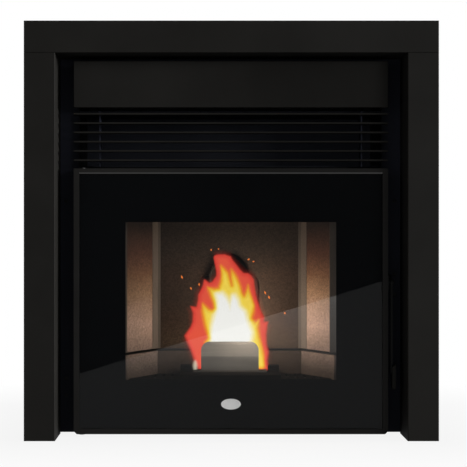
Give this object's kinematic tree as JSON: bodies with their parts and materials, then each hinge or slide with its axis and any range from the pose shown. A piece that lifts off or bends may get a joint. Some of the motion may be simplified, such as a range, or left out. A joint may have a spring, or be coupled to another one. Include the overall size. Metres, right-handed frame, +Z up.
{
  "type": "fireplace insert",
  "caption": "Pellet-burning fireplace insert in a three-sided steel surround, with a wide glass door, a slatted hot-air grille and a loading drawer above.",
  "frame": {"origin": "middle of the footprint, on the hearth", "axes": "+Z up, front faces -Y, +X to the viewer's right"},
  "size_m": [0.908, 0.56, 0.92],
  "materials": {
    "charcoal_coat": "satin",
    "black_coat": "matt",
    "galvanised": "satin",
    "stainless": "brushed",
    "cast_iron": "rough",
    "vermiculite": "matt",
    "glass": "gloss",
    "rope": "woven",
    "badge": "satin",
    "motor": "satin",
    "plastic": "matt",
    "black_screw": "satin"
  },
  "bodies": {
    "base": {"surround_lintel": "charcoal_coat", "surround_left_leg": "charcoal_coat", "surround_right_leg": "charcoal_coat", "grille_slats": "charcoal_coat", "wall_plate": "black_coat", "casing_cover": "black_coat", "front_frame": "black_coat", "grille_combs": "black_coat", "hinge_brackets": "black_coat", "firebox_shell": "black_coat", "ash_pan": "black_coat", "pellet_chute": "black_coat", "liner_retainers": "black_coat", "back_cover_plate": "black_coat", "hot_air_box": "black_coat", "surround_brackets": "galvanised", "base_tray": "galvanised", "back_panel": "galvanised", "heat_exchanger": "galvanised", "smoke_duct": "galvanised", "smoke_fan_housing": "galvanised", "room_fan_housing": "galvanised", "hopper": "galvanised", "auger_tube": "galvanised", "drawer_runners": "galvanised", "air_inlet": "galvanised", "levelling_feet": "galvanised", "control_box": "galvanised", "igniter": "stainless", "burn_pot_seat": "cast_iron", "ash_grates": "cast_iron", "left_liner": "vermiculite", "right_liner": "vermiculite", "back_liner": "vermiculite", "baffle": "vermiculite", "auger_motor": "motor", "smoke_motor": "motor", "room_motor": "motor", "safety_thermostat": "motor", "power_inlet": "plastic", "wall_plate_screws": "black_screw"},
    "door": {"door_frame": "charcoal_coat", "door_glass": "glass", "door_inner_frame": "galvanised", "glass_clamps": "galvanised", "door_gasket": "rope", "badge": "badge", "hinge_blocks": "galvanised", "latch_bracket": "black_coat"},
    "latch": {"latch_lever": "black_coat", "latch_grip": "charcoal_coat"},
    "drawer": {"drawer_front": "charcoal_coat", "pellet_drawer": "galvanised"},
    "burn_pot_set": {"burn_pot": "stainless", "burn_pot_shield": "stainless"},
    "auger": {"auger_screw": "galvanised"},
    "room_fan": {"room_impeller": "galvanised"},
    "smoke_fan": {"smoke_impeller": "galvanised"},
    "switch": {"power_switch": "plastic"},
    "reset": {"reset_button": "plastic"}
  },
  "joints": [
    {"name": "door_swing", "type": "hinge", "parent": "base", "child": "door", "pos_m": [-0.333, -0.204, 0.303], "axis": [0, 0, -1], "range_deg": [0, 105]},
    {"name": "latch_pull", "type": "hinge", "parent": "door", "child": "latch", "pos_m": [0.359, -0.214, 0.345], "axis": [-1, 0, 0], "range_deg": [0, 30]},
    {"name": "drawer_slide", "type": "slide", "parent": "base", "child": "drawer", "axis": [0, -1, 0], "range_m": [0, 0.22]},
    {"name": "burn_pot_lift", "type": "slide", "parent": "base", "child": "burn_pot_set", "axis": [0, 0, 1], "range_m": [0, 0.08]},
    {"name": "auger_turn", "type": "hinge", "parent": "base", "child": "auger", "pos_m": [-0.064, 0.095, 0.488], "axis": [1, 0, 0], "continuous": true},
    {"name": "room_fan_turn", "type": "hinge", "parent": "base", "child": "room_fan", "pos_m": [-0.21, 0.12, 0.13], "axis": [1, 0, 0], "continuous": true},
    {"name": "smoke_fan_turn", "type": "hinge", "parent": "base", "child": "smoke_fan", "pos_m": [0.19, 0.138, 0.195], "axis": [1, 0, 0], "continuous": true},
    {"name": "power_rocker", "type": "hinge", "parent": "base", "child": "switch", "pos_m": [0.28, 0.24, 0.302], "axis": [-1, 0, 0], "range_deg": [0, 16]},
    {"name": "reset_press", "type": "slide", "parent": "base", "child": "reset", "axis": [0, -1, 0], "range_m": [0, 0.003], "stiffness_N_per_m": 400, "springref_m": -0.001}
  ]
}
